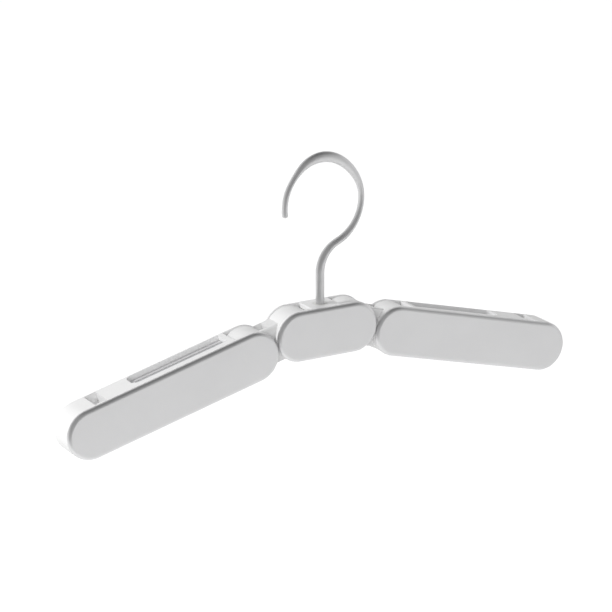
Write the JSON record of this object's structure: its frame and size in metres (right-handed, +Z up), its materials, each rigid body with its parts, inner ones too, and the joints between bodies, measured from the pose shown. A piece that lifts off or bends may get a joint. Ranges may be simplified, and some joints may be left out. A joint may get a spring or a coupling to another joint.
{
  "type": "folding travel hanger",
  "caption": "Folding clothes hanger with a swivel hook, a centre block and slim arms on double-knuckle links; slots in the arms' tops hold straps.",
  "frame": {"origin": "seat of the rail inside the hook's crown, on the stem's axis and in the hook's middle plane", "axes": "+X to the right along the open hanger's length, +Y to the back through its thickness, +Z up"},
  "size_m": [0.3794, 0.0236, 0.1758],
  "materials": {
    "white_shell": "satin gloss",
    "white_link": "satin gloss",
    "face_metal": "fine bead-blasted, anodised",
    "hook_metal": "satin",
    "steel": "plain",
    "bush_plastic": "matte",
    "washer_plastic": "matte",
    "strip_rubber": "matte"
  },
  "bodies": {
    "hook": {"hook": "hook_metal", "hook_washer": "steel", "hook_retaining_ring": "steel"},
    "centre": {"centre_front_shell": "white_shell", "centre_back_shell": "white_shell", "centre_face_plate": "face_metal", "centre_pivot_pins": "steel", "centre_screws": "steel", "hook_bush": "bush_plastic"},
    "link_left": {"link_left": "white_link", "link_bushes_left": "bush_plastic", "friction_washers_left": "washer_plastic"},
    "arm_left": {"arm_front_shell_left": "white_shell", "arm_back_shell_left": "white_shell", "arm_face_plate_left": "face_metal", "grip_strip_left": "strip_rubber", "arm_pivot_pin_left": "steel", "arm_screws_left": "steel"},
    "link_right": {"link_right": "white_link", "link_bushes_right": "bush_plastic", "friction_washers_right": "washer_plastic"},
    "arm_right": {"arm_front_shell_right": "white_shell", "arm_back_shell_right": "white_shell", "arm_face_plate_right": "face_metal", "grip_strip_right": "strip_rubber", "arm_pivot_pin_right": "steel", "arm_screws_right": "steel"}
  },
  "joints": [
    {"name": "hook_swivel", "type": "hinge", "parent": "hook", "child": "centre", "pos_m": [0, 0, -0.095], "axis": [0, 0, 1], "continuous": true},
    {"name": "link_left_fold", "type": "hinge", "parent": "centre", "child": "link_left", "pos_m": [-0.0206, 0, -0.1122], "axis": [0, -1, 0], "range_deg": [0, 75.55]},
    {"name": "arm_left_fold", "type": "hinge", "parent": "link_left", "child": "arm_left", "pos_m": [-0.05411, 0, -0.12083], "axis": [0, -1, 0], "range_deg": [-75.55, 0]},
    {"name": "link_right_fold", "type": "hinge", "parent": "centre", "child": "link_right", "pos_m": [0.0206, 0, -0.1122], "axis": [0, 1, 0], "range_deg": [0, 75.55]},
    {"name": "arm_right_fold", "type": "hinge", "parent": "link_right", "child": "arm_right", "pos_m": [0.05411, 0, -0.12083], "axis": [0, 1, 0], "range_deg": [-75.55, 0]}
  ]
}
